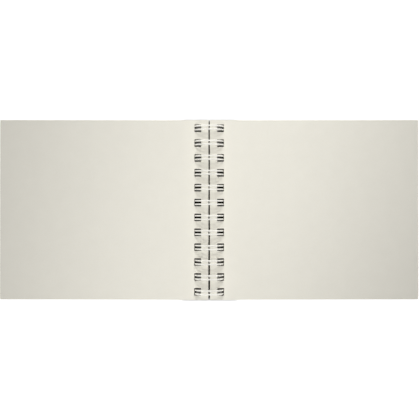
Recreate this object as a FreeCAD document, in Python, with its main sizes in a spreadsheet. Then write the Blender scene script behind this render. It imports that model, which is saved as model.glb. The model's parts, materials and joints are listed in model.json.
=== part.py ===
import FreeCAD, Part
import math
import os
import Sketcher

# A twin-loop wire-bound sketchbook, lying open at its middle on a table. Millimetres.
# X runs across the spread, Y along the spine, Z up. The origin is on the table, under the
# middle of the gutter. Every leaf and cover turns about the rings' own axis, which is
# parallel to Y, so each one is drawn flat, by its distance from that axis, and then placed.

SIZES = {
    "page_width": 178.0,
    "page_height": 153.4,
    "gutter_width": 1.6,  # between the left and the right pages' spine edges
    "paper_thickness": 0.2,
    "leaf_gap": 0.04,  # air between two leaves
    "leaves_each_side": 25,
    "top_leaf_drop": 0.5,  # from the rings' axis down to the two pages on view
    "lining_thickness": 0.2,
    "board_thickness": 1.3,
    "facing_thickness": 0.2,
    "cover_gap": 0.1,  # air between a cover's lining and its lowest leaf
    "hole_pitch": 12.7,
    "hole_height": 6.5,  # along the spine
    "hole_end_margin": 2.0,  # least paper beyond the last hole
    "hole_inner_clearance": 0.48,
    "hole_outer_clearance": 0.35,
    "wire_thickness": 1.3,  # steel with its white coat
    "loop_radius": 11.7,  # to the middle of the wire
    "loop_corner_radius": 3.0,  # where the round of a loop turns into its flat back
    "under_cover_clearance": 0.3,  # between a cover's outer face and the flat backs
    "twin_spacing": 3.0,  # between the two wires of one loop
    "base_bar_offset": 1.1,  # the bars that join the loops lie this far left of the middle
    "base_bar_bend": 1.2,
    "tip_reach": 1.9,  # where the closed tips begin to round, right of the middle
    "cut_end_length": 3.4,
}

HOLE_COUNT = (
    "(floor((Sizes.page_height - 2 * Sizes.hole_end_margin - Sizes.hole_height)"
    " / Sizes.hole_pitch) + 1)"
)
HOLE_ROW = f"(({HOLE_COUNT} - 1) * Sizes.hole_pitch)"
# how far the two covers' outer faces lie below the rings' axis
STACK_DEPTH = (
    "(Sizes.top_leaf_drop"
    " + Sizes.leaves_each_side * (Sizes.paper_thickness + Sizes.leaf_gap) + Sizes.cover_gap"
    " + Sizes.lining_thickness + Sizes.board_thickness + Sizes.facing_thickness)"
)
# the holes run from inside the loops, at the outermost sheet, to outside their round
HOLE_NEAR = (
    "(sqrt((Sizes.loop_radius - Sizes.wire_thickness / 2) ^ 2"
    f" - {STACK_DEPTH} ^ 2) - Sizes.hole_inner_clearance)"
)
HOLE_FAR = "(Sizes.loop_radius + Sizes.wire_thickness / 2 + Sizes.hole_outer_clearance)"
BACK_DEPTH = f"({STACK_DEPTH} + Sizes.under_cover_clearance + Sizes.wire_thickness / 2)"

Y_AXIS = FreeCAD.Vector(0, 1, 0)
Z_AXIS = FreeCAD.Vector(0, 0, 1)

doc = FreeCAD.newDocument("sketchbook")
sheet = doc.addObject("Spreadsheet::Sheet", "Sizes")


def fill_sheet():
    for row, (alias, value) in enumerate(SIZES.items(), start=1):
        sheet.set(f"A{row}", alias)
        sheet.set(f"B{row}", str(value))
        sheet.setAlias(f"B{row}", alias)
    doc.recompute()


def size(formula):
    """The value of an alias, or of a formula over aliases, as a number."""
    text = formula if "Sizes." in formula else f"Sizes.{formula}"
    found = sheet.evalExpression(text)
    return float(getattr(found, "Value", found))


def origin_feature(body, role):
    return next(f for f in body.Origin.OriginFeatures if f.Role == role)


def bound_rectangle(body, name, near, width, height, middle_below):
    """A sketched rectangle. near and middle_below are its distances from the local Y axis
    and, to its middle, below the local X axis. All four are formulas over the sheet."""
    sketch = body.newObject("Sketcher::SketchObject", name)
    sketch.AttachmentSupport = [(origin_feature(body, "XY_Plane"), "")]
    sketch.MapMode = "FlatFace"
    x = size(near)
    y = -size(middle_below) - size(height) / 2
    corners = [
        FreeCAD.Vector(x, y, 0),
        FreeCAD.Vector(x + size(width), y, 0),
        FreeCAD.Vector(x + size(width), y + size(height), 0),
        FreeCAD.Vector(x, y + size(height), 0),
    ]
    for side in range(4):
        edge = Part.LineSegment(corners[side], corners[(side + 1) % 4])
        sketch.addGeometry(edge, False)
    for side in range(4):
        sketch.addConstraint(Sketcher.Constraint("Coincident", side, 2, (side + 1) % 4, 1))
        direction = "Vertical" if side % 2 else "Horizontal"
        sketch.addConstraint(Sketcher.Constraint(direction, side))
    origin = (-1, 1)
    lowest = (0, 1)
    bottom = f"({middle_below}) + ({height}) / 2"
    bind(sketch, "near", "DistanceX", origin + lowest, near)
    bind(sketch, "wide", "DistanceX", (0, 1, 0, 2), width)
    bind(sketch, "bottom", "DistanceY", lowest + origin, bottom)
    bind(sketch, "tall", "DistanceY", (1, 1, 1, 2), height)
    return sketch


def bind(sketch, name, kind, points, formula):
    number = sketch.addConstraint(Sketcher.Constraint(kind, *points, size(formula)))
    sketch.renameConstraint(number, name)
    sketch.setExpression(f"Constraints.{name}", formula)


def punched_sheet(name, thickness, depth, side):
    """One leaf or cover layer. depth is from the rings' axis down to its upper face, and
    side is 1 for the right half of the spread and -1 for the left."""
    body = doc.addObject("PartDesign::Body", name)
    body.Label = name
    outline = bound_rectangle(
        body, f"{name}_outline", "Sizes.gutter_width / 2", "Sizes.page_width",
        "Sizes.page_height", "0 * Sizes.page_height",
    )
    plate = body.newObject("PartDesign::Pad", f"{name}_plate")
    plate.Profile = outline
    plate.setExpression("Length", f"Sizes.{thickness}")
    hole = bound_rectangle(
        body, f"{name}_hole", HOLE_NEAR, f"{HOLE_FAR} - {HOLE_NEAR}",
        "Sizes.hole_height", f"{HOLE_ROW} / 2",
    )
    punch = body.newObject("PartDesign::Pocket", f"{name}_punch")
    punch.Profile = hole
    punch.Type = "ThroughAll"
    punch.Midplane = True
    row = body.newObject("PartDesign::LinearPattern", f"{name}_row")
    row.Originals = [punch]
    row.Direction = (origin_feature(body, "Y_Axis"), [""])
    row.setExpression("Length", HOLE_ROW)
    row.setExpression("Occurrences", HOLE_COUNT)
    body.Tip = row
    body.Placement = sheet_place(depth + size(thickness), side)
    return body


def sheet_place(depth, side):
    """From a sheet's own frame to its place: down by depth, tilted about the rings' axis
    until the covers' fore edges meet the table, and turned round on the left."""
    fore_edge = math.hypot(size("gutter_width") / 2 + size("page_width"), size(STACK_DEPTH))
    drop = math.asin(axis_height() / fore_edge)
    lean = math.atan2(size(STACK_DEPTH), size("gutter_width") / 2 + size("page_width"))
    tilt = FreeCAD.Rotation(Y_AXIS, math.degrees(drop - lean))
    turn = FreeCAD.Rotation(Z_AXIS, 0 if side > 0 else 180)
    at_axis = FreeCAD.Placement(FreeCAD.Vector(0, 0, axis_height()), turn * tilt)
    return at_axis * FreeCAD.Placement(FreeCAD.Vector(0, 0, -depth), FreeCAD.Rotation())


def axis_height():
    """The loops' flat backs lie on the table."""
    return size(BACK_DEPTH) + size("wire_thickness") / 2


def leaves():
    pitch = size("paper_thickness") + size("leaf_gap")
    each = round(size("leaves_each_side"))
    made = []
    for below_top in range(each):
        depth = size("top_leaf_drop") + below_top * pitch
        left_name = f"leaf_{each - below_top:02d}"
        right_name = f"leaf_{each + 1 + below_top:02d}"
        made.append(punched_sheet(left_name, "paper_thickness", depth, -1))
        made.append(punched_sheet(right_name, "paper_thickness", depth, 1))
    return made


def cover(name, side):
    """A cover from the inside out: its lining paper, its grey board and its facing paper."""
    pitch = size("paper_thickness") + size("leaf_gap")
    depth = size("top_leaf_drop") + round(size("leaves_each_side")) * pitch + size("cover_gap")
    made = []
    for layer in ("lining", "board", "facing"):
        thickness = f"{layer}_thickness"
        made.append(punched_sheet(f"{name}_{layer}", thickness, depth, side))
        depth += size(thickness)
    return made


def line(start, end):
    return Part.LineSegment(start, end).toShape()


def arc(start, middle, end):
    return Part.Arc(start, middle, end).toShape()


def around_loop(y, leftward):
    """The D-shaped round of one wire at y, from the flat back's one end over the top to its
    other, as edges. leftward says whether it sets out to the left."""
    radius = size("loop_radius")
    corner = size("loop_corner_radius")
    top = axis_height() + radius
    back = size("wire_thickness") / 2
    corner_up = back + corner
    corner_below_axis = axis_height() - corner_up
    corner_out = math.sqrt((radius - corner) ** 2 - corner_below_axis**2)
    outward = math.atan2(corner_below_axis, corner_out)
    half_turn = (math.pi / 2 - outward) / 2 + outward

    def on_corner(angle, side):
        x = corner_out + corner * math.cos(angle)
        return FreeCAD.Vector(side * x, y, corner_up - corner * math.sin(angle))

    def corner_points(side):
        return [on_corner(angle, side) for angle in (math.pi / 2, half_turn, outward)]

    first = -1 if leftward else 1
    down = corner_points(-first)
    up = corner_points(first)
    over = arc(up[2], FreeCAD.Vector(0, y, top), down[2])
    return [arc(*up), over, arc(*reversed(down))], up[0], down[0]


def wire_path():
    """The binding's one wire: a cut end, then for each hole out along the base bar, round
    the loop, back at the closed tip and round again, and at last the other cut end."""
    count = round(size(HOLE_COUNT))
    pitch = size("hole_pitch")
    half = size("twin_spacing") / 2
    bend = size("base_bar_bend")
    back = size("wire_thickness") / 2
    bar_x = -size("base_bar_offset")
    tip_x = size("tip_reach")
    slant = bend * math.sqrt(0.5)
    edges = []
    first_y = -size(HOLE_ROW) / 2
    at = FreeCAD.Vector(bar_x, first_y - half - size("cut_end_length"), back)
    for number in range(count):
        middle = first_y + number * pitch
        y_out = middle - half
        y_back = middle + half
        leave_bar = FreeCAD.Vector(bar_x, y_out - bend, back)
        on_flat = FreeCAD.Vector(bar_x - bend, y_out, back)
        turning = FreeCAD.Vector(bar_x - bend + slant, y_out - bend + slant, back)
        edges += [line(at, leave_bar), arc(leave_bar, turning, on_flat)]
        outgoing, flat_end, far_end = around_loop(y_out, leftward=True)
        edges += [line(on_flat, flat_end), *outgoing]
        tip_start = FreeCAD.Vector(tip_x, y_out, back)
        tip = FreeCAD.Vector(tip_x - half, middle, back)
        tip_end = FreeCAD.Vector(tip_x, y_back, back)
        edges += [line(far_end, tip_start), arc(tip_start, tip, tip_end)]
        returning, flat_end, far_end = around_loop(y_back, leftward=False)
        edges += [line(tip_end, flat_end), *returning]
        off_flat = FreeCAD.Vector(bar_x - bend, y_back, back)
        rejoin_bar = FreeCAD.Vector(bar_x, y_back + bend, back)
        turning = FreeCAD.Vector(bar_x - bend + slant, y_back + bend - slant, back)
        edges += [line(far_end, off_flat), arc(off_flat, turning, rejoin_bar)]
        at = rejoin_bar
    last_y = first_y + (count - 1) * pitch
    end = FreeCAD.Vector(bar_x, last_y + half + size("cut_end_length"), back)
    edges.append(line(at, end))
    return Part.Wire(edges)


def wire_binding():
    path = doc.addObject("Part::Feature", "wire_path")
    path.Shape = wire_path()
    section = doc.addObject("Part::Circle", "wire_section")
    section.setExpression("Radius", "Sizes.wire_thickness / 2")
    start = path.Shape.OrderedVertexes[0].Point
    section.Placement = FreeCAD.Placement(start, FreeCAD.Rotation(Z_AXIS, Y_AXIS))
    binding = doc.addObject("Part::Sweep", "wire_binding")
    binding.Label = "wire_binding"
    binding.Sections = [section]
    binding.Spine = (path, [])
    binding.Solid = True
    binding.Frenet = False
    doc.recompute()
    swept = binding.Shape.Volume
    expected = math.pi * (size("wire_thickness") / 2) ** 2 * path.Shape.Length
    if abs(swept - expected) > 0.01 * expected:
        raise ValueError(f"the wire's volume is {swept:.1f}, and its length gives {expected:.1f}")
    return binding


def check_document(pieces):
    for item in doc.Objects:
        if {"Invalid", "Error"} & set(item.State):
            raise ValueError(f"{item.Label} failed to build: {item.State}")
    for piece in pieces:
        shape = piece.Shape
        if shape.isNull() or not shape.isValid() or len(shape.Solids) != 1:
            raise ValueError(f"{piece.Label} isn't one valid solid")


def check_holes(piece, thickness):
    """Every sheet's volume is its plate less all of its holes."""
    wide = size(f"{HOLE_FAR} - {HOLE_NEAR}")
    holes = round(size(HOLE_COUNT)) * wide * size("hole_height")
    expected = (size("page_width") * size("page_height") - holes) * thickness
    if abs(piece.Shape.Volume - expected) > 0.001 * expected:
        raise ValueError(f"{piece.Label}'s holes aren't all cut")


fill_sheet()
papers = leaves()
covers = cover("front_cover", -1) + cover("back_cover", 1)
binding = wire_binding()
doc.recompute()
check_document([*papers, *covers, binding])
for leaf in papers:
    check_holes(leaf, size("paper_thickness"))
for layer in covers:
    check_holes(layer, size(f"{layer.Label.rsplit('_', 1)[1]}_thickness"))

os.makedirs("parts", exist_ok=True)
for piece in [*papers, *covers, binding]:
    piece.Shape.exportStep(f"parts/{piece.Label}.step")
spread = 2 * max(leaf.Shape.BoundBox.XMax for leaf in papers)
height = axis_height() + size("loop_radius") + size("wire_thickness") / 2
print(f"{len(papers) + len(covers) + 1} pieces")
print(f"{spread:.1f} mm across the spread, {size('page_height'):.1f} along the spine, {height:.2f} high")
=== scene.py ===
"""A wire-bound sketchbook lying open on a white table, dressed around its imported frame."""

import json
import math

import bmesh
import bpy
from bpy.props import FloatProperty, FloatVectorProperty, IntProperty, PointerProperty
from mathutils import Matrix, Vector


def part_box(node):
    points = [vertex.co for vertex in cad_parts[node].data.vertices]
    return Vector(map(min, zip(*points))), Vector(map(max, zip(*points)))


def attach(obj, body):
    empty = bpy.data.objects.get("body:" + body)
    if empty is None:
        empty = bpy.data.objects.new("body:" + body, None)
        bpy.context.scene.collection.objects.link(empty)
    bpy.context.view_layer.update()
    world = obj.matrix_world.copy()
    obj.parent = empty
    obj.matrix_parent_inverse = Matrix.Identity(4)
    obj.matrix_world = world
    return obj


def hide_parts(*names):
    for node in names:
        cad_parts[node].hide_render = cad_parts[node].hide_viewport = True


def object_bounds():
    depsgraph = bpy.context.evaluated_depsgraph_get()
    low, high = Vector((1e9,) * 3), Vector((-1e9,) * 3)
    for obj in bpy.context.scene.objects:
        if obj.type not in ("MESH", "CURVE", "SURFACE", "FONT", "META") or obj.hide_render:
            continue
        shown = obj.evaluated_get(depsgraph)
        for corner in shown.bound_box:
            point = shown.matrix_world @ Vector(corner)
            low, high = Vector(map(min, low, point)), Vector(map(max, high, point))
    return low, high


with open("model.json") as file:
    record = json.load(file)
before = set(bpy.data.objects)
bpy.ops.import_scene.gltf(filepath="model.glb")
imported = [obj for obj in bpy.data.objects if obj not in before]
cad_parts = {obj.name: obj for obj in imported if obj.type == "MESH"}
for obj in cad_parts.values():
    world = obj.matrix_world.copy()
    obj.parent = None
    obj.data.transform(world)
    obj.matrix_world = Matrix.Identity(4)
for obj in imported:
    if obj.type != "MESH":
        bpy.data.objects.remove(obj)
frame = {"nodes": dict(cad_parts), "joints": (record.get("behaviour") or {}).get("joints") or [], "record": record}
CAD_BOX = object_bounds()

bl_info = {
    "name": "Wire-bound sketchbook",
    "version": (1, 0, 0),
    "blender": (4, 5, 0),
    "location": "View3D > Sidebar > Sketchbook",
    "description": "Makes the leaves, covers and twin-loop wire of an open sketchbook",
    "category": "Add Mesh",
}

MM = 0.001
HINGE = Vector(next(j for j in frame["joints"] if j["name"] == "leaf_25_turn")["pos_m"])
LEAVES = sorted(name for name in frame["nodes"] if name.startswith("leaf_"))
HALF = len(LEAVES) // 2


# ---------------------------------------------------------------- reading the frame


def lie_of(name):
    """How a flat sheet of the frame lies: its side, tilt, depth under the rings' axis, spine
    edge, width, height and thickness."""
    low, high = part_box(name)
    size = high - low
    side = 1 if low.x > 0 else -1
    mesh = frame["nodes"][name].data
    upper = [v.co for v in mesh.vertices if abs(v.co.y - high.y) < 1e-6]
    inner = [p for p in upper if abs(abs(p.x) - min(abs(q.x) for q in upper)) < 5e-5]
    outer = [p for p in upper if abs(abs(p.x) - max(abs(q.x) for q in upper)) < 5e-5]
    near_top = max(inner, key=lambda p: p.z)
    far_top = max(outer, key=lambda p: p.z)
    near_low = min(inner, key=lambda p: p.z)
    along = far_top - near_top
    tilt = math.atan2(-along.z, abs(along.x))
    down = HINGE.z - near_top.z
    return {
        "side": side,
        "tilt": tilt,
        "thickness": (near_top - near_low).length,
        "width": along.length,
        "height": size.y,
        "spine": abs(near_top.x) * math.cos(tilt) - down * math.sin(tilt),
        "depth": abs(near_top.x) * math.sin(tilt) * -1 + down * math.cos(tilt),
    }


# ---------------------------------------------------------------- settings


def length(name, description, default):
    return FloatProperty(
        name=name, description=description, default=default, subtype="DISTANCE",
        unit="LENGTH", precision=5
    )


def angle(name, description, degrees):
    return FloatProperty(
        name=name, description=description, default=math.radians(degrees), subtype="ANGLE"
    )


def linear(code):
    """A six-digit sRGB hex colour as linear red, green, blue and alpha."""
    parts = [int(code[i : i + 2], 16) / 255 for i in (1, 3, 5)]
    curve = [c / 12.92 if c <= 0.04045 else ((c + 0.055) / 1.055) ** 2.4 for c in parts]
    return (*curve, 1.0)


def colour(name, description, code):
    return FloatVectorProperty(
        name=name, description=description, default=linear(code), size=4, min=0, max=1,
        subtype="COLOR"
    )


class PunchSettings(bpy.types.PropertyGroup):
    """The row of rectangular holes that every sheet shares."""

    count: IntProperty(name="Holes", description="Holes along the spine", default=12)
    pitch: length("Pitch", "From one hole to the next, two to the inch", 12.7 * MM)
    near: length("Near side", "From the rings' axis to the hole", 6.81 * MM)
    far: length("Far side", "From the rings' axis to the hole's far side", 12.7 * MM)
    height: length("Height", "Along the spine", 6.5 * MM)
    corner: length("Corner", "Radius that the punch leaves in a corner", 0.45 * MM)


class PaperSettings(bpy.types.PropertyGroup):
    """The drawing paper."""

    colour: colour("Colour", "Cream cartridge paper", "#EFECE1")
    # Painted shade: Cut edge is greyer than the faces, standing in for the shade of the thin gaps between stacked
    # sheets.
    cut_edge: colour("Cut edge", "Guillotined edges, greyer than the faces", "#CFCBC0")
    # Painted shade: Punched edge darkens the hole walls and the gutter's spine edges, standing in for the shade
    # deep in those recesses.
    punched: colour("Punched edge", "Walls of the holes, where the wire rubs", "#5C5648")
    wave: length("Wave", "How far the top leaf rises in its shallow waves", 0.3 * MM)
    wave_length: length("Wave length", "From one shallow wave to the next", 85 * MM)
    slide: length("Slide", "How far the lowest leaf lies nearer the spine", 0.08 * MM)
    turn: angle("Turn", "How far each block lies askew, so the gutter tapers", 0.08)
    stray: length("Stray", "How far single leaves lie off the block's line", 0.07 * MM)
    seed: IntProperty(name="Seed", description="Which leaves stray which way", default=7)


class CoverSettings(bpy.types.PropertyGroup):
    """The two laminated covers."""

    facing: colour("Facing", "Black embossed cover paper", "#1C1C1E")
    board: colour("Board", "Dyed board seen at the cut edges", "#3A3938")
    lining: colour("Lining", "Plain black paper inside the cover", "#191919")
    soften: length("Soften", "Rounding that the guillotine leaves on an edge", 0.12 * MM)


class WireSettings(bpy.types.PropertyGroup):
    """The white twin-loop wire."""

    colour: colour("Coat", "White nylon coat", "#F1EFE7")
    steel: colour("Steel", "Bare core at the two cut ends", "#8F8E8C")
    thickness: length("Thickness", "Across the coated wire", 1.3 * MM)
    core: length("Core", "Across the bare steel", 0.95 * MM)
    radius: length("Loop radius", "Of the wire's centreline about the axis", 11.7 * MM)
    corner: length("Corner radius", "Between the flat back and the loop", 3.0 * MM)
    spacing: length("Twin spacing", "Between the two wires of a loop", 3.0 * MM)
    bar: length("Base bar", "From the gutter to the bar between loops", 1.1 * MM)
    bend: length("Bar bend", "Radius where the bar turns into a loop", 1.2 * MM)
    tip: length("Tip", "Centre of the closed hairpin from the gutter", 1.9 * MM)
    end: length("Cut end", "Straight wire past the last loop", 3.4 * MM)
    sides: IntProperty(name="Sides", description="Round the wire", default=14, min=8)
    step: angle("Step", "Between two points of a bend", 7.5)


class StageSettings(bpy.types.PropertyGroup):
    """Table, light and camera."""

    floor: colour("Table", "Matt white table top and backdrop", "#F2F2F2")
    # Painted shade: Under is the table's colour beneath the binding, dark so that the holes read black; full out
    # to Shade, gone by Fade.
    under: colour("Under", "Table in the shade under the binding", "#332E27")
    shade: length("Shade", "From the gutter, fully in the binding's shade", 13 * MM)
    fade: length("Fade", "From the gutter to where that shade has gone", 30 * MM)
    lens: FloatProperty(
        name="Lens", description="Focal length", default=100, unit="CAMERA"
    )
    framing: FloatProperty(
        name="Framing", description="Width of view for one width of the book", default=1.0024
    )
    aside: length("Aside", "How far the camera stands right of the gutter", 0.7 * MM)
    glow: FloatProperty(name="Glow", description="Light that the table gives", default=0.95)
    sky: FloatProperty(name="Sky", description="Soft light from all round", default=0.08)
    overhead: FloatProperty(
        name="Overhead", description="Power of the soft box above", default=0.66, unit="POWER"
    )
    overhead_height: length("Overhead height", "Of the soft box above the table", 0.275)
    overhead_turn: angle("Overhead turn", "Of the soft box from straight across", -18)
    key: FloatProperty(
        name="Key", description="Power of the lamp behind the head edge", default=1.44,
        unit="POWER"
    )
    key_away: length("Key distance", "From the book", 0.75)
    key_height: angle("Key height", "Of the lamp above the table", 58)
    key_size: length("Key size", "Across the lamp", 0.09)


# ---------------------------------------------------------------- nodes


def node(tree, kind, values=None, **settings):
    """Adds one node. values fills or links its inputs, by name or number."""
    made = tree.nodes.new(kind)
    for name, value in settings.items():
        setattr(made, name, value)
    for key, value in (values or {}).items():
        if isinstance(value, bpy.types.NodeSocket):
            tree.links.new(value, made.inputs[key])
        else:
            made.inputs[key].default_value = value
    return made


def new_tree(name, inputs):
    """A geometry tree with its named inputs: {name: (socket type, default)}."""
    tree = bpy.data.node_groups.new(name, "GeometryNodeTree")
    tree.interface.new_socket("Geometry", in_out="INPUT", socket_type="NodeSocketGeometry")
    tree.interface.new_socket("Geometry", in_out="OUTPUT", socket_type="NodeSocketGeometry")
    for label, (kind, default) in inputs.items():
        socket = tree.interface.new_socket(label, in_out="INPUT", socket_type=kind)
        if default is not None:
            socket.default_value = default
    return tree, node(tree, "NodeGroupInput").outputs


def finish_tree(tree, geometry, given, sharp_from):
    """Ends a tree: plain faces, smooth but for the edges sharper than sharp_from."""
    real = node(tree, "GeometryNodeRealizeInstances", {0: geometry}).outputs[0]
    bend = node(tree, "GeometryNodeInputMeshEdgeAngle").outputs["Unsigned Angle"]
    flat = node(tree, "FunctionNodeCompare", {0: bend, 1: math.radians(sharp_from)},
                data_type="FLOAT", operation="LESS_THAN").outputs[0]
    face = node(tree, "GeometryNodeSetShadeSmooth", {"Geometry": real, "Shade Smooth": True},
                domain="FACE").outputs[0]
    edge = node(tree, "GeometryNodeSetShadeSmooth", {"Geometry": face, "Shade Smooth": flat},
                domain="EDGE").outputs[0]
    done = node(tree, "GeometryNodeSetMaterial", {"Geometry": edge, "Material": given["Material"]})
    node(tree, "NodeGroupOutput", {0: done.outputs[0]})
    return tree


def grown(name, source, tree, inputs):
    """The plain mesh object that a tree makes from a source mesh with these inputs."""
    holder = bpy.data.objects.new(name, source)
    bpy.context.scene.collection.objects.link(holder)
    modifier = holder.modifiers.new(tree.name, "NODES")
    modifier.node_group = tree
    sockets = {s.name: s.identifier for s in tree.interface.items_tree if s.in_out == "INPUT"}
    for label, value in inputs.items():
        modifier[sockets[label]] = value
    graph = bpy.context.evaluated_depsgraph_get()
    mesh = bpy.data.meshes.new_from_object(holder.evaluated_get(graph), depsgraph=graph)
    holder.modifiers.clear()
    holder.data = mesh
    mesh.name = name
    if not mesh.polygons:
        raise RuntimeError(f"{name} came out empty")
    mesh.materials.clear()
    mesh.materials.append(inputs["Material"])
    return holder


def place(piece, body, slot, *nodes):
    """Hands a finished piece to the frame."""
    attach(piece, body)
    if nodes:
        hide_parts(*nodes)
    return piece


def body_of(name):
    return next(b for b, names in frame["record"]["behaviour"]["bodies"].items() if name in names)


# ---------------------------------------------------------------- materials


def new_material(name):
    """A material with its Principled shader, tree and object coordinates."""
    made = bpy.data.materials.new(name)
    made.use_nodes = True
    tree = made.node_tree
    shader = next(n for n in tree.nodes if n.type == "BSDF_PRINCIPLED")
    return made, tree, shader, node(tree, "ShaderNodeTexCoord").outputs


def noise(tree, vector, millimetres, **values):
    """Noise whose grains are about this many millimetres apart."""
    settings = {"Vector": vector, "Scale": 1 / (millimetres * MM)}
    settings.update({key.replace("_", " ").title(): v for key, v in values.items()})
    return node(tree, "ShaderNodeTexNoise", settings).outputs["Fac"]


def ranged(tree, value, low, high, to_low, to_high):
    return node(tree, "ShaderNodeMapRange", {
        "Value": value, "From Min": low, "From Max": high, "To Min": to_low, "To Max": to_high,
    }).outputs[0]


def mixed(tree, factor, first, second, blend="MIX"):
    made = node(tree, "ShaderNodeMix", data_type="RGBA", blend_type=blend)
    for socket, value in ((0, factor), (6, first), (7, second)):
        if isinstance(value, bpy.types.NodeSocket):
            tree.links.new(value, made.inputs[socket])
        else:
            made.inputs[socket].default_value = value
    return made.outputs[2]


def bumped(tree, shader, height, millimetres, strength=1.0):
    bump = node(tree, "ShaderNodeBump", {
        "Height": height, "Distance": millimetres * MM, "Strength": strength,
    })
    tree.links.new(bump.outputs[0], shader.inputs["Normal"])


def shade_of(tone, strength):
    """A colour made darker, or lighter when strength is over 1."""
    return [min(1, c * strength) for c in tone[:3]] + [1]


def cut_edges(tree, coordinates):
    """1 on a sheet's cut edges and 0 on its two faces."""
    parts = node(tree, "ShaderNodeSeparateXYZ", {0: coordinates["Normal"]})
    upright = node(tree, "ShaderNodeMath", {0: parts.outputs["Z"]}, operation="ABSOLUTE")
    return ranged(tree, upright.outputs[0], 0.4, 0.6, 1, 0)


def cartridge_paper(settings):
    """Uncoated cartridge paper: dead matt and warm white, with a fine tooth and a cloudy look
    where the fibres lie thicker. Its cut edges are greyer than the faces, painted shade of
    the gaps between sheets; the walls of the holes and of the gutter are darker still, as painted shade."""
    felt_side, spine_strip, row_end, blur = linear("#EBE6D6"), 15 * MM, 74 * MM, 1 * MM
    made, tree, shader, at = new_material("cream_cartridge_paper")
    cloud = noise(tree, at["Object"], 11, detail=4, roughness=0.6)
    felt = noise(tree, at["Object"], 1.6, detail=3, roughness=0.7)
    tooth = noise(tree, at["Object"], 0.45, detail=2, roughness=0.6)
    dim = shade_of(settings.colour, 0.985)
    face = mixed(tree, ranged(tree, cloud, 0.35, 0.65, 0, 1), dim, settings.colour)
    warm = mixed(tree, ranged(tree, felt, 0.4, 0.75, 0, 0.25), face, felt_side)
    # Painted shade mask: 1 within Spine strip of the gutter and Row end of the middle, which takes in the hole
    # walls and the gutter's spine edges.
    parts = node(tree, "ShaderNodeSeparateXYZ", {0: at["Object"]}).outputs
    inside = []
    for axis, reach in ((parts["X"], spine_strip), (parts["Y"], row_end)):
        away = node(tree, "ShaderNodeMath", {0: axis}, operation="ABSOLUTE").outputs[0]
        inside.append(ranged(tree, away, reach, reach + blur, 1, 0))
    painted_shade_mask = node(tree, "ShaderNodeMath", {0: inside[0], 1: inside[1]},
                  operation="MULTIPLY").outputs[0]
    # Painted shade: cut edges take the greyer edge colour, and the hole walls and gutter edges take the dark
    # punched colour.
    edge = mixed(tree, painted_shade_mask, settings.cut_edge, settings.punched)
    base = mixed(tree, cut_edges(tree, at), warm, edge)
    tree.links.new(base, shader.inputs["Base Color"])
    tree.links.new(ranged(tree, felt, 0.3, 0.7, 0.82, 0.96), shader.inputs["Roughness"])
    shader.inputs["Specular IOR Level"].default_value = 0.25
    shader.inputs["IOR"].default_value = 1.5
    bumped(tree, shader, tooth, 0.03, 0.6)
    return made


def cover_paper(settings):
    """Printed and embossed cover paper: near black with a soft gloss on top of a pebbled
    grain, a little greyer in soft cloudy patches."""
    made, tree, shader, at = new_material("black_embossed_cover_paper")
    grain = node(tree, "ShaderNodeTexVoronoi", {
        "Vector": at["Object"], "Scale": 1 / (0.9 * MM), "Randomness": 0.9,
    }, feature="SMOOTH_F1")
    cloud = noise(tree, at["Object"], 6, detail=4)
    pits = ranged(tree, grain.outputs["Distance"], 0.1, 0.7, 0, 1)
    light = shade_of(settings.facing, 2.1)
    base = mixed(tree, ranged(tree, cloud, 0.4, 0.8, 0, 0.5), settings.facing, light)
    tree.links.new(base, shader.inputs["Base Color"])
    tree.links.new(ranged(tree, cloud, 0.3, 0.7, 0.48, 0.66), shader.inputs["Roughness"])
    shader.inputs["IOR"].default_value = 1.5
    bumped(tree, shader, pits, -0.09, 0.8)
    return made


def grey_board(settings):
    """Board pressed from waste paper and dyed dark grey: the guillotined edge shows thin
    layers, paler flecks that took less dye, and a dry, dusty surface."""
    undyed = linear("#5B574F")
    made, tree, shader, at = new_material("pressed_grey_board")
    thin = node(tree, "ShaderNodeMapping", {"Vector": at["Object"], "Scale": (0.2, 0.2, 4)})
    layers = noise(tree, thin.outputs[0], 0.9, detail=3, roughness=0.7)
    flecks = noise(tree, at["Object"], 0.5, detail=2, roughness=0.8)
    dark = shade_of(settings.board, 0.62)
    base = mixed(tree, ranged(tree, layers, 0.35, 0.65, 0, 1), dark, settings.board)
    base = mixed(tree, ranged(tree, flecks, 0.62, 0.72, 0, 0.6), base, undyed)
    tree.links.new(base, shader.inputs["Base Color"])
    shader.inputs["Roughness"].default_value = 0.92
    shader.inputs["Specular IOR Level"].default_value = 0.3
    bumped(tree, shader, layers, 0.08, 0.7)
    return made


def lining_paper(settings):
    """Black machine-made lining paper: smoother and flatter in colour than the leaves."""
    made, tree, shader, at = new_material("plain_lining_paper")
    cloud = noise(tree, at["Object"], 14, detail=3)
    tooth = noise(tree, at["Object"], 0.3, detail=2)
    dim = shade_of(settings.lining, 0.95)
    base = mixed(tree, ranged(tree, cloud, 0.35, 0.65, 0, 1), dim, settings.lining)
    tree.links.new(base, shader.inputs["Base Color"])
    shader.inputs["Roughness"].default_value = 0.8
    shader.inputs["Specular IOR Level"].default_value = 0.35
    bumped(tree, shader, tooth, 0.015, 0.5)
    return made


def nylon_coat(settings):
    """Nylon powder coat fused on wire: clean white, satin, with a faint orange peel that
    breaks the highlight along the wire."""
    made, tree, shader, at = new_material("white_nylon_coat")
    peel = noise(tree, at["Object"], 0.8, detail=2)
    wear = noise(tree, at["Object"], 5, detail=3)
    dim = shade_of(settings.colour, 0.96)
    base = mixed(tree, ranged(tree, wear, 0.4, 0.7, 0, 1), settings.colour, dim)
    tree.links.new(base, shader.inputs["Base Color"])
    tree.links.new(ranged(tree, wear, 0.3, 0.7, 0.3, 0.42), shader.inputs["Roughness"])
    shader.inputs["IOR"].default_value = 1.53
    bumped(tree, shader, peel, 0.02, 0.5)
    return made


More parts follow.
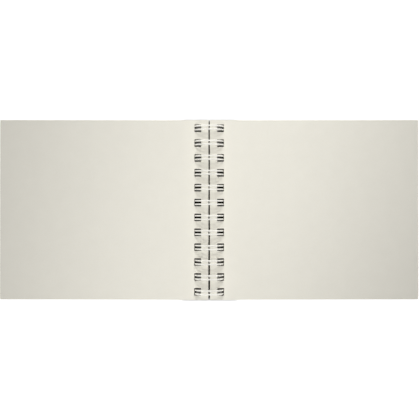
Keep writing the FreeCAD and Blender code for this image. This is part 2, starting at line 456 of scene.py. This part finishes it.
def cut_steel(settings):
    """Mild steel sheared by the wire cutter: bright, with fine drag lines across."""
    made, tree, shader, at = new_material("sheared_mild_steel")
    drag = node(tree, "ShaderNodeMapping", {"Vector": at["Object"], "Scale": (6, 1, 0.6)})
    lines = noise(tree, drag.outputs[0], 0.35, detail=3)
    dim = shade_of(settings.steel, 0.6)
    base = mixed(tree, ranged(tree, lines, 0.4, 0.6, 0, 1), dim, settings.steel)
    tree.links.new(base, shader.inputs["Base Color"])
    tree.links.new(ranged(tree, lines, 0.3, 0.7, 0.28, 0.5), shader.inputs["Roughness"])
    shader.inputs["Metallic"].default_value = 1.0
    bumped(tree, shader, lines, 0.02, 0.6)
    return made


# ---------------------------------------------------------------- punched sheets


def sheet_tree():
    """A sheet with its row of punched holes, waved a little, then laid where it belongs."""
    number, whole, point = "NodeSocketFloat", "NodeSocketInt", "NodeSocketVector"
    tree, given = new_tree("Punched sheet", {
        "Size": (point, (0.178, 0.153, 0.0002)), "Spine Edge": (number, 0.0008),
        "Faces": (point, (32, 28, 0)),
        "Hole Count": (whole, 12), "Hole Pitch": (number, 0.0127),
        "Hole Near": (number, 0.0068), "Hole Far": (number, 0.0127),
        "Hole Height": (number, 0.0065), "Hole Corner": (number, 0.0004),
        "Wave": (number, 0.0), "Wave Length": (number, 0.085), "Wave Start": (number, 0.0),
        "Lie": (point, (0, 0, 0)), "Turn": (point, (0, 0, 0)),
        "Tilt": (point, (0, 0, 0)), "Axis": (point, (0, 0, 0.0099)),
        "Material": ("NodeSocketMaterial", None),
    })
    plate = flat_plate(tree, given)
    punched = node(tree, "GeometryNodeMeshBoolean", {0: plate, 1: hole_row(tree, given)},
                   operation="DIFFERENCE", solver="MANIFOLD").outputs[0]
    waved = node(tree, "GeometryNodeSetPosition", {
        "Geometry": punched, "Offset": wave_offset(tree, given)}).outputs[0]
    laid = node(tree, "GeometryNodeTransform", {
        "Geometry": waved, "Translation": given["Lie"], "Rotation": given["Turn"]}).outputs[0]
    hung = node(tree, "GeometryNodeTransform", {
        "Geometry": laid, "Translation": given["Axis"], "Rotation": given["Tilt"]}).outputs[0]
    return finish_tree(tree, hung, given, 30)


def flat_plate(tree, given):
    size = node(tree, "ShaderNodeSeparateXYZ", {0: given["Size"]}).outputs
    faces = node(tree, "ShaderNodeSeparateXYZ", {0: given["Faces"]}).outputs
    plate = node(tree, "GeometryNodeMeshCube", {
        "Size": given["Size"], "Vertices X": faces[0], "Vertices Y": faces[1], "Vertices Z": 2})
    middle = node(tree, "ShaderNodeMath", {0: size[0], 1: 0.5, 2: given["Spine Edge"]},
                  operation="MULTIPLY_ADD").outputs[0]
    place_at = node(tree, "ShaderNodeCombineXYZ", {0: middle}).outputs[0]
    return node(tree, "GeometryNodeTransform", {
        "Geometry": plate.outputs[0], "Translation": place_at}).outputs[0]


def hole_row(tree, given):
    """One prism for each hole, with the punch's small corner radius."""
    stroke_half = 2 * MM  # deeper than any sheet is thick
    wide = node(tree, "ShaderNodeMath", {0: given["Hole Far"], 1: given["Hole Near"]},
                operation="SUBTRACT").outputs[0]
    outline = node(tree, "GeometryNodeCurvePrimitiveQuadrilateral", {
        "Width": wide, "Height": given["Hole Height"]}).outputs[0]
    soft = node(tree, "GeometryNodeFilletCurve", {"Curve": outline, "Radius": given["Hole Corner"]})
    set_fillet(soft)
    stroke = node(tree, "GeometryNodeCurvePrimitiveLine", {
        "Start": (0, 0, -stroke_half), "End": (0, 0, stroke_half)}).outputs[0]
    prism = node(tree, "GeometryNodeCurveToMesh", {
        "Curve": stroke, "Profile Curve": soft.outputs[0], "Fill Caps": True}).outputs[0]
    both = node(tree, "ShaderNodeMath", {0: given["Hole Far"], 1: given["Hole Near"]},
                operation="ADD").outputs[0]
    middle = node(tree, "ShaderNodeMath", {0: both, 1: 0.5}, operation="MULTIPLY").outputs[0]
    steps = node(tree, "ShaderNodeMath", {0: given["Hole Count"], 1: -0.5, 2: 0.5},
                 operation="MULTIPLY_ADD").outputs[0]
    first = node(tree, "ShaderNodeMath", {0: steps, 1: given["Hole Pitch"]},
                 operation="MULTIPLY").outputs[0]
    start = node(tree, "ShaderNodeCombineXYZ", {0: middle, 1: first}).outputs[0]
    step = node(tree, "ShaderNodeCombineXYZ", {1: given["Hole Pitch"]}).outputs[0]
    row = node(tree, "GeometryNodeMeshLine", {
        "Count": given["Hole Count"], "Start Location": start, "Offset": step}).outputs[0]
    holes = node(tree, "GeometryNodeInstanceOnPoints", {"Points": row, "Instance": prism})
    return node(tree, "GeometryNodeRealizeInstances", {0: holes.outputs[0]}).outputs[0]


def set_fillet(fillet):
    """Poly fillet with four steps, whichever way this build names the setting."""
    if hasattr(fillet, "mode"):
        fillet.mode = "POLY"
    fillet.inputs["Count"].default_value = 4


def wave_offset(tree, given):
    """Upward only, and the same for every leaf of a block, so that leaves never cross. The
    rings hold the leaves flat near the spine, and they are free farther out."""
    held_to, free_from = 12 * MM, 60 * MM
    at = node(tree, "GeometryNodeInputPosition").outputs[0]
    shift = node(tree, "ShaderNodeCombineXYZ", {2: given["Wave Start"]}).outputs[0]
    level = node(tree, "ShaderNodeVectorMath", {0: at, 1: (1, 1, 0)}, operation="MULTIPLY")
    moved = node(tree, "ShaderNodeVectorMath", {0: level.outputs[0], 1: shift}, operation="ADD")
    scale = node(tree, "ShaderNodeMath", {0: 1.0, 1: given["Wave Length"]}, operation="DIVIDE")
    cloud = node(tree, "ShaderNodeTexNoise", {
        "Vector": moved.outputs[0], "Scale": scale.outputs[0], "Detail": 0.0}).outputs["Fac"]
    crest = node(tree, "ShaderNodeMapRange", {"Value": cloud, "From Min": 0.3, "From Max": 0.75},
                 interpolation_type="SMOOTHSTEP").outputs[0]
    away = node(tree, "ShaderNodeSeparateXYZ", {0: at}).outputs[0]
    free = node(tree, "ShaderNodeMapRange", {
        "Value": away, "From Min": held_to, "From Max": free_from, "To Min": 0.1}).outputs[0]
    rise = node(tree, "ShaderNodeMath", {0: crest, 1: given["Wave"]}, operation="MULTIPLY")
    held = node(tree, "ShaderNodeMath", {0: rise.outputs[0], 1: free}, operation="MULTIPLY")
    return node(tree, "ShaderNodeCombineXYZ", {2: held.outputs[0]}).outputs[0]


def sheet_inputs(lie, punch, material):
    """What every punched sheet is given, from how its frame sheet lies."""
    return {
        "Size": (lie["width"], lie["height"], lie["thickness"]),
        "Spine Edge": lie["spine"],
        "Hole Count": punch.count,
        "Hole Pitch": punch.pitch,
        "Hole Near": punch.near,
        "Hole Far": punch.far,
        "Hole Height": punch.height,
        "Hole Corner": punch.corner,
        "Lie": (0, 0, -lie["depth"] - lie["thickness"] / 2),
        "Turn": (0, 0, 0),
        "Tilt": (0, lie["tilt"], 0 if lie["side"] > 0 else math.pi),
        "Axis": tuple(HINGE),
        "Material": material,
    }


def stray(number, seed, reach):
    """A leaf's own small shift along and across the spine, the same on every run."""
    turn = math.modf(abs(math.sin(number * 12.9898 + seed * 78.233)) * 43758.5453)[0]
    other = math.modf(abs(math.sin(number * 39.3468 + seed * 11.135)) * 24634.6345)[0]
    return reach * (2 * turn - 1), reach * (2 * other - 1)


class SKETCHBOOK_OT_leaves(bpy.types.Operator):
    """Make the fifty punched leaves of drawing paper"""

    bl_idname = "sketchbook.leaves"
    bl_label = "Leaves"

    def execute(self, context):
        settings = context.scene.sketchbook_paper
        punch = context.scene.sketchbook_punch
        paper = cartridge_paper(settings)
        tree = sheet_tree()
        source = bpy.data.meshes.new("nothing")
        right_start, left_start = 0.31, 1.7  # where each half begins in the pattern of waves
        for index, name in enumerate(LEAVES):
            lie = lie_of(name)
            from_cover = index if index < HALF else len(LEAVES) - 1 - index
            rise = from_cover / (HALF - 1)
            along, across = stray(index, settings.seed, settings.stray)
            slide = settings.slide * (1 - rise)
            inputs = sheet_inputs(lie, punch, paper)
            inputs["Wave"] = settings.wave * rise**2
            inputs["Wave Length"] = settings.wave_length
            inputs["Wave Start"] = right_start if lie["side"] > 0 else left_start
            inputs["Lie"] = (across * rise - slide, along, inputs["Lie"][2])
            inputs["Turn"] = (0, 0, lie["side"] * settings.turn)
            page = grown(name.replace("leaf", "page"), source, tree, inputs)
            place(page, body_of(name), "drawing_paper", name)
        return {"FINISHED"}


class SKETCHBOOK_OT_covers(bpy.types.Operator):
    """Make both covers: facing paper, dyed board and lining paper"""

    bl_idname = "sketchbook.covers"
    bl_label = "Covers"

    def execute(self, context):
        settings = context.scene.sketchbook_cover
        layers = {
            "facing": (cover_paper(settings), "cover_facing"),
            "board": (grey_board(settings), "grey_board"),
            "lining": (lining_paper(settings), "cover_lining"),
        }
        tree = sheet_tree()
        source = bpy.data.meshes.new("nothing")
        for side in ("front", "back"):
            for layer, (material, slot) in layers.items():
                name = f"{side}_cover_{layer}"
                inputs = sheet_inputs(lie_of(name), context.scene.sketchbook_punch, material)
                inputs["Faces"] = (2, 2, 0)
                piece = grown(f"{side}_{layer}", source, tree, inputs)
                if layer == "board":
                    soften(piece, settings.soften)
                place(piece, body_of(name), slot, name)
        return {"FINISHED"}


def soften(piece, width):
    """Rounds a board's cut edges a little, in its mesh."""
    bevel = piece.modifiers.new("cut edge", "BEVEL")
    bevel.width = width
    bevel.segments = 2
    bevel.limit_method = "ANGLE"
    bevel.angle_limit = math.radians(50)
    graph = bpy.context.evaluated_depsgraph_get()
    mesh = bpy.data.meshes.new_from_object(piece.evaluated_get(graph), depsgraph=graph)
    piece.modifiers.clear()
    piece.data = mesh


# ---------------------------------------------------------------- wire


def bow(centre, radius, start, stop, step):
    """Points of an arc, from one angle to the other in degrees, both ends left out."""
    count = max(2, math.ceil(abs(stop - start) / step))
    angles = [math.radians(start + (stop - start) * i / count) for i in range(1, count)]
    return [(centre[0] + radius * math.cos(a), centre[1] + radius * math.sin(a)) for a in angles]


def loop_outline(wire):
    """The D-shaped round of one wire as (x, z), from the flat's right end to its left end."""
    back = wire.thickness / 2
    up = back + wire.corner
    below = HINGE.z - up
    out = math.sqrt((wire.radius - wire.corner) ** 2 - below**2)
    outward = math.degrees(math.atan2(below, out))
    step = math.degrees(wire.step)
    right = [(out, back)] + bow((out, up), wire.corner, -90, -outward, step * 1.6)
    join = math.radians(outward)
    meet = (wire.radius * math.cos(join), HINGE.z - wire.radius * math.sin(join))
    over = bow((0, HINGE.z), wire.radius, -outward, 180 + outward, step)
    left = [(-x, z) for x, z in reversed(right)]
    return right + [meet] + over + [(-meet[0], meet[1])] + left


def pair_line(wire, pitch):
    """The centreline of one twin loop, from the middle of one base bar to the next."""
    back, half, step = wire.thickness / 2, wire.spacing / 2, math.degrees(wire.step) * 2
    outline = loop_outline(wire)
    flat_x = -wire.bar - wire.bend
    points = [(-wire.bar, -pitch / 2, back), (-wire.bar, -half - wire.end, back)]
    points.append((-wire.bar, -half - wire.bend, back))
    turn = bow((flat_x, -half - wire.bend), wire.bend, 0, 90, step)
    points += [(x, y, back) for x, y in turn] + [(flat_x, -half, back)]
    points += [(x, -half, z) for x, z in reversed(outline)]
    tip = bow((wire.tip, 0), half, -90, -270, step)
    points += [(wire.tip, -half, back)] + [(x, y, back) for x, y in tip]
    points += [(wire.tip, half, back)] + [(x, half, z) for x, z in outline]
    turn = bow((flat_x, half + wire.bend), wire.bend, -90, 0, step)
    points += [(flat_x, half, back)] + [(x, y, back) for x, y in turn]
    points.append((-wire.bar, half + wire.bend, back))
    points += [(-wire.bar, half + wire.end, back), (-wire.bar, pitch / 2, back)]
    return points


def wire_tree():
    """Repeats the twin loop, joins the copies into one line, cuts it off past the end loops
    and sweeps the round wire along it."""
    number, whole = "NodeSocketFloat", "NodeSocketInt"
    tree, given = new_tree("Twin-loop wire", {
        "Loops": (whole, 12), "Pitch": (number, 0.0127), "Half Length": (number, 0.07475),
        "Thickness": (number, 0.0013), "Sides": (whole, 14),
        "Material": ("NodeSocketMaterial", None),
    })
    steps = node(tree, "ShaderNodeMath", {0: given["Loops"], 1: -0.5, 2: 0.5},
                 operation="MULTIPLY_ADD").outputs[0]
    first = node(tree, "ShaderNodeMath", {0: steps, 1: given["Pitch"]},
                 operation="MULTIPLY").outputs[0]
    start = node(tree, "ShaderNodeCombineXYZ", {1: first}).outputs[0]
    step = node(tree, "ShaderNodeCombineXYZ", {1: given["Pitch"]}).outputs[0]
    row = node(tree, "GeometryNodeMeshLine", {
        "Count": given["Loops"], "Start Location": start, "Offset": step}).outputs[0]
    copies = node(tree, "GeometryNodeInstanceOnPoints", {
        "Points": row, "Instance": given["Geometry"]}).outputs[0]
    loose = node(tree, "GeometryNodeRealizeInstances", {0: copies}).outputs[0]
    whole_line = node(tree, "GeometryNodeMergeByDistance", {
        "Geometry": loose, "Distance": 0.00002}).outputs[0]
    along = node(tree, "ShaderNodeSeparateXYZ", {
        0: node(tree, "GeometryNodeInputPosition").outputs[0]}).outputs[1]
    away = node(tree, "ShaderNodeMath", {0: along}, operation="ABSOLUTE").outputs[0]
    past = node(tree, "FunctionNodeCompare", {0: away, 1: given["Half Length"]},
                data_type="FLOAT", operation="GREATER_THAN").outputs[0]
    cut = node(tree, "GeometryNodeDeleteGeometry", {"Geometry": whole_line, "Selection": past},
               domain="POINT").outputs[0]
    line = node(tree, "GeometryNodeMeshToCurve", {0: cut}).outputs[0]
    radius = node(tree, "ShaderNodeMath", {0: given["Thickness"], 1: 0.5},
                  operation="MULTIPLY").outputs[0]
    ring = node(tree, "GeometryNodeCurvePrimitiveCircle", {
        "Resolution": given["Sides"], "Radius": radius}).outputs[0]
    tube = node(tree, "GeometryNodeCurveToMesh", {
        "Curve": line, "Profile Curve": ring, "Fill Caps": True}).outputs[0]
    return finish_tree(tree, tube, given, 50)


def cut_end(name, settings, side, half_length, material):
    """The bare steel core that stands a hair proud where the wire was cut off."""
    stub, rounding, sunk = 1.0 * MM, 0.08 * MM, 0.4 * MM
    made = bmesh.new()
    bmesh.ops.create_cone(
        made, cap_ends=True, segments=20, radius1=settings.core / 2,
        radius2=settings.core / 2, depth=stub,
    )
    rim = [e for e in made.edges if all(v.co.z > 0 for v in e.verts)]
    bmesh.ops.bevel(made, geom=rim, offset=rounding, segments=2, affect="EDGES")
    stand = Matrix.Rotation(math.radians(-90 * side), 4, "X")
    out = side * (half_length - sunk)
    made.transform(Matrix.Translation((-settings.bar, out, settings.thickness / 2)) @ stand)
    mesh = bpy.data.meshes.new(name)
    made.to_mesh(mesh)
    made.free()
    mesh.materials.append(material)
    piece = bpy.data.objects.new(name, mesh)
    bpy.context.scene.collection.objects.link(piece)
    return piece


class SKETCHBOOK_OT_wire(bpy.types.Operator):
    """Make the white twin-loop wire and its two cut ends"""

    bl_idname = "sketchbook.wire"
    bl_label = "Wire"

    def execute(self, context):
        settings = context.scene.sketchbook_wire
        punch = context.scene.sketchbook_punch
        points = pair_line(settings, punch.pitch)
        line = bpy.data.meshes.new("twin_loop_line")
        line.from_pydata(points, [(i, i + 1) for i in range(len(points) - 1)], [])
        row = (punch.count - 1) * punch.pitch
        half_length = row / 2 + settings.spacing / 2 + settings.end
        wire = grown("twin_loop_wire", line, wire_tree(), {
            "Loops": punch.count, "Pitch": punch.pitch, "Half Length": half_length + 1e-5,
            "Thickness": settings.thickness, "Sides": settings.sides,
            "Material": nylon_coat(settings),
        })
        place(wire, "wire_binding", "coated_wire", "wire_binding")
        steel = cut_steel(settings)
        for name, side in (("wire_end_tail", -1), ("wire_end_head", 1)):
            place(cut_end(name, settings, side, half_length, steel), "wire_binding", "coated_wire")
        return {"FINISHED"}


# ---------------------------------------------------------------- stage


def studio_white(settings):
    """Matt white table top lit from within, so that it stays white. Under the binding it
    darkens softly as painted shade, standing in for the shade a book throws under its own spine."""
    made, tree, shader, at = new_material("matt_white_table")
    shader.inputs["Roughness"].default_value = 0.95
    shader.inputs["Specular IOR Level"].default_value = 0.1
    shader.inputs["Emission Color"].default_value = (1, 1, 1, 1)
    inside, outside = 2 * MM, 4 * MM
    far = max(abs(CAD_BOX[0][1]), abs(CAD_BOX[1][1]))
    reach = ((settings.shade, settings.fade), (far - inside, far + outside))
    parts = node(tree, "ShaderNodeSeparateXYZ", {0: at["Object"]}).outputs
    clear_of_painted_shade = []
    for axis, (start, end) in zip(parts, reach):
        away = node(tree, "ShaderNodeMath", {0: axis}, operation="ABSOLUTE").outputs[0]
        clear_of_painted_shade.append(node(tree, "ShaderNodeMapRange", {
            "Value": away, "From Min": start, "From Max": end,
        }, interpolation_type="SMOOTHSTEP").outputs[0])
    table = node(tree, "ShaderNodeMath", {0: clear_of_painted_shade[0], 1: clear_of_painted_shade[1]}, operation="MAXIMUM")
    # Painted shade: the table is coloured dark and gets no glow within Shade of the gutter, fading out by Fade and
    # past the book's head and tail.
    base = mixed(tree, table.outputs[0], settings.under, settings.floor)
    tree.links.new(base, shader.inputs["Base Color"])
    glow = node(tree, "ShaderNodeMath", {0: table.outputs[0], 1: settings.glow},
                operation="MULTIPLY")
    tree.links.new(glow.outputs[0], shader.inputs["Emission Strength"])
    return made


def backdrop(settings):
    """A round table top that curves up into a low white wall."""
    flat, bend, wall, clear = 2.2, 0.5, 0.3, 0.05 * MM
    profile = [(0.0, 0.0), (flat, 0.0)]
    profile += bow((flat, bend), bend, -90, 0, 9)
    profile += [(flat + bend, bend), (flat + bend, bend + wall)]
    made = bmesh.new()
    line = [made.verts.new((x, 0, z - clear)) for x, z in profile]
    for first, second in zip(line, line[1:]):
        made.edges.new((first, second))
    bmesh.ops.spin(made, geom=made.verts[:] + made.edges[:], cent=(0, 0, 0), axis=(0, 0, 1),
                   angle=math.tau, steps=72, use_merge=True)
    bmesh.ops.remove_doubles(made, verts=made.verts, dist=1e-5)
    for face in made.faces:
        face.smooth = True
        face.normal_update()
        if face.normal.z < 0 or face.normal.dot(face.calc_center_median()) > 0.01:
            face.normal_flip()
    mesh = bpy.data.meshes.new("table_and_backdrop")
    made.to_mesh(mesh)
    made.free()
    mesh.materials.append(studio_white(settings))
    piece = bpy.data.objects.new("table_and_backdrop", mesh)
    bpy.context.scene.collection.objects.link(piece)


def soft_box(name, power, size, at, aim, turn=0.0):
    """A rectangular lamp at a place, pointing at another."""
    data = bpy.data.lights.new(name, "AREA")
    data.shape = "RECTANGLE"
    data.size, data.size_y = size
    data.energy = power
    lamp = bpy.data.objects.new(name, data)
    direction = Vector(aim) - Vector(at)
    face = direction.to_track_quat("-Z", "Y").to_matrix().to_4x4()
    lamp.matrix_world = Matrix.Translation(at) @ face @ Matrix.Rotation(turn, 4, "Z")
    lamp.visible_camera = False
    bpy.context.scene.collection.objects.link(lamp)
    return lamp


def camera(settings):
    """Straight down on the middle of the spread, which all but fills the view."""
    data = bpy.data.cameras.new("camera")
    data.lens = settings.lens
    data.clip_start, data.clip_end = 0.05, 20
    low, high = CAD_BOX
    view = (high[0] - low[0]) * settings.framing
    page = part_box("leaf_26")[1].z
    made = bpy.data.objects.new("camera", data)
    away = page + view * settings.lens / data.sensor_width
    made.location = ((low[0] + high[0]) / 2 + settings.aside, 0, away)
    bpy.context.scene.collection.objects.link(made)
    bpy.context.scene.camera = made


class SKETCHBOOK_OT_stage(bpy.types.Operator):
    """Make the white table, the lights and the camera"""

    bl_idname = "sketchbook.stage"
    bl_label = "Stage"

    def execute(self, context):
        settings = context.scene.sketchbook_stage
        backdrop(settings)
        strip = (0.08, 0.6)
        above = Vector((-0.001, -0.03, settings.overhead_height))
        straight_below = above * Vector((1, 1, 0))
        soft_box("overhead", settings.overhead, strip, above, straight_below,
                 settings.overhead_turn)
        lift, away = settings.key_height, settings.key_away
        at = (0, away * math.cos(lift), away * math.sin(lift))
        soft_box("key", settings.key, (settings.key_size, settings.key_size), at, (0, 0, 0))
        world = bpy.data.worlds.new("studio")
        context.scene.world = world
        world.use_nodes = True
        sky = next(n for n in world.node_tree.nodes if n.type == "BACKGROUND")
        sky.inputs["Color"].default_value = (1, 1, 1, 1)
        sky.inputs["Strength"].default_value = settings.sky
        context.scene.view_settings.view_transform = "Standard"
        camera(settings)
        return {"FINISHED"}


# ---------------------------------------------------------------- panel


class SKETCHBOOK_PT_pieces(bpy.types.Panel):
    """Lists the pieces and their settings"""

    bl_idname = "SKETCHBOOK_PT_pieces"
    bl_label = "Sketchbook"
    bl_space_type = "VIEW_3D"
    bl_region_type = "UI"
    bl_category = "Sketchbook"

    def draw(self, context):
        scene = context.scene
        rows = (
            ("sketchbook.leaves", scene.sketchbook_paper),
            ("sketchbook.covers", scene.sketchbook_cover),
            ("sketchbook.wire", scene.sketchbook_wire),
            ("sketchbook.stage", scene.sketchbook_stage),
            (None, scene.sketchbook_punch),
        )
        for operator, settings in rows:
            box = self.layout.box()
            if operator:
                box.operator(operator)
            for name in settings.__annotations__:
                box.prop(settings, name)


GROUPS = {
    "sketchbook_punch": PunchSettings,
    "sketchbook_paper": PaperSettings,
    "sketchbook_cover": CoverSettings,
    "sketchbook_wire": WireSettings,
    "sketchbook_stage": StageSettings,
}
CLASSES = (
    *GROUPS.values(), SKETCHBOOK_OT_leaves, SKETCHBOOK_OT_covers, SKETCHBOOK_OT_wire,
    SKETCHBOOK_OT_stage, SKETCHBOOK_PT_pieces,
)


def register():
    for made in CLASSES:
        bpy.utils.register_class(made)
    for name, group in GROUPS.items():
        setattr(bpy.types.Scene, name, PointerProperty(type=group))


def unregister():
    for name in GROUPS:
        delattr(bpy.types.Scene, name)
    for made in reversed(CLASSES):
        bpy.utils.unregister_class(made)


def main():
    register()
    bpy.ops.sketchbook.stage()
    bpy.ops.sketchbook.leaves()
    bpy.ops.sketchbook.covers()
    bpy.ops.sketchbook.wire()


if __name__ == "__main__":
    main()
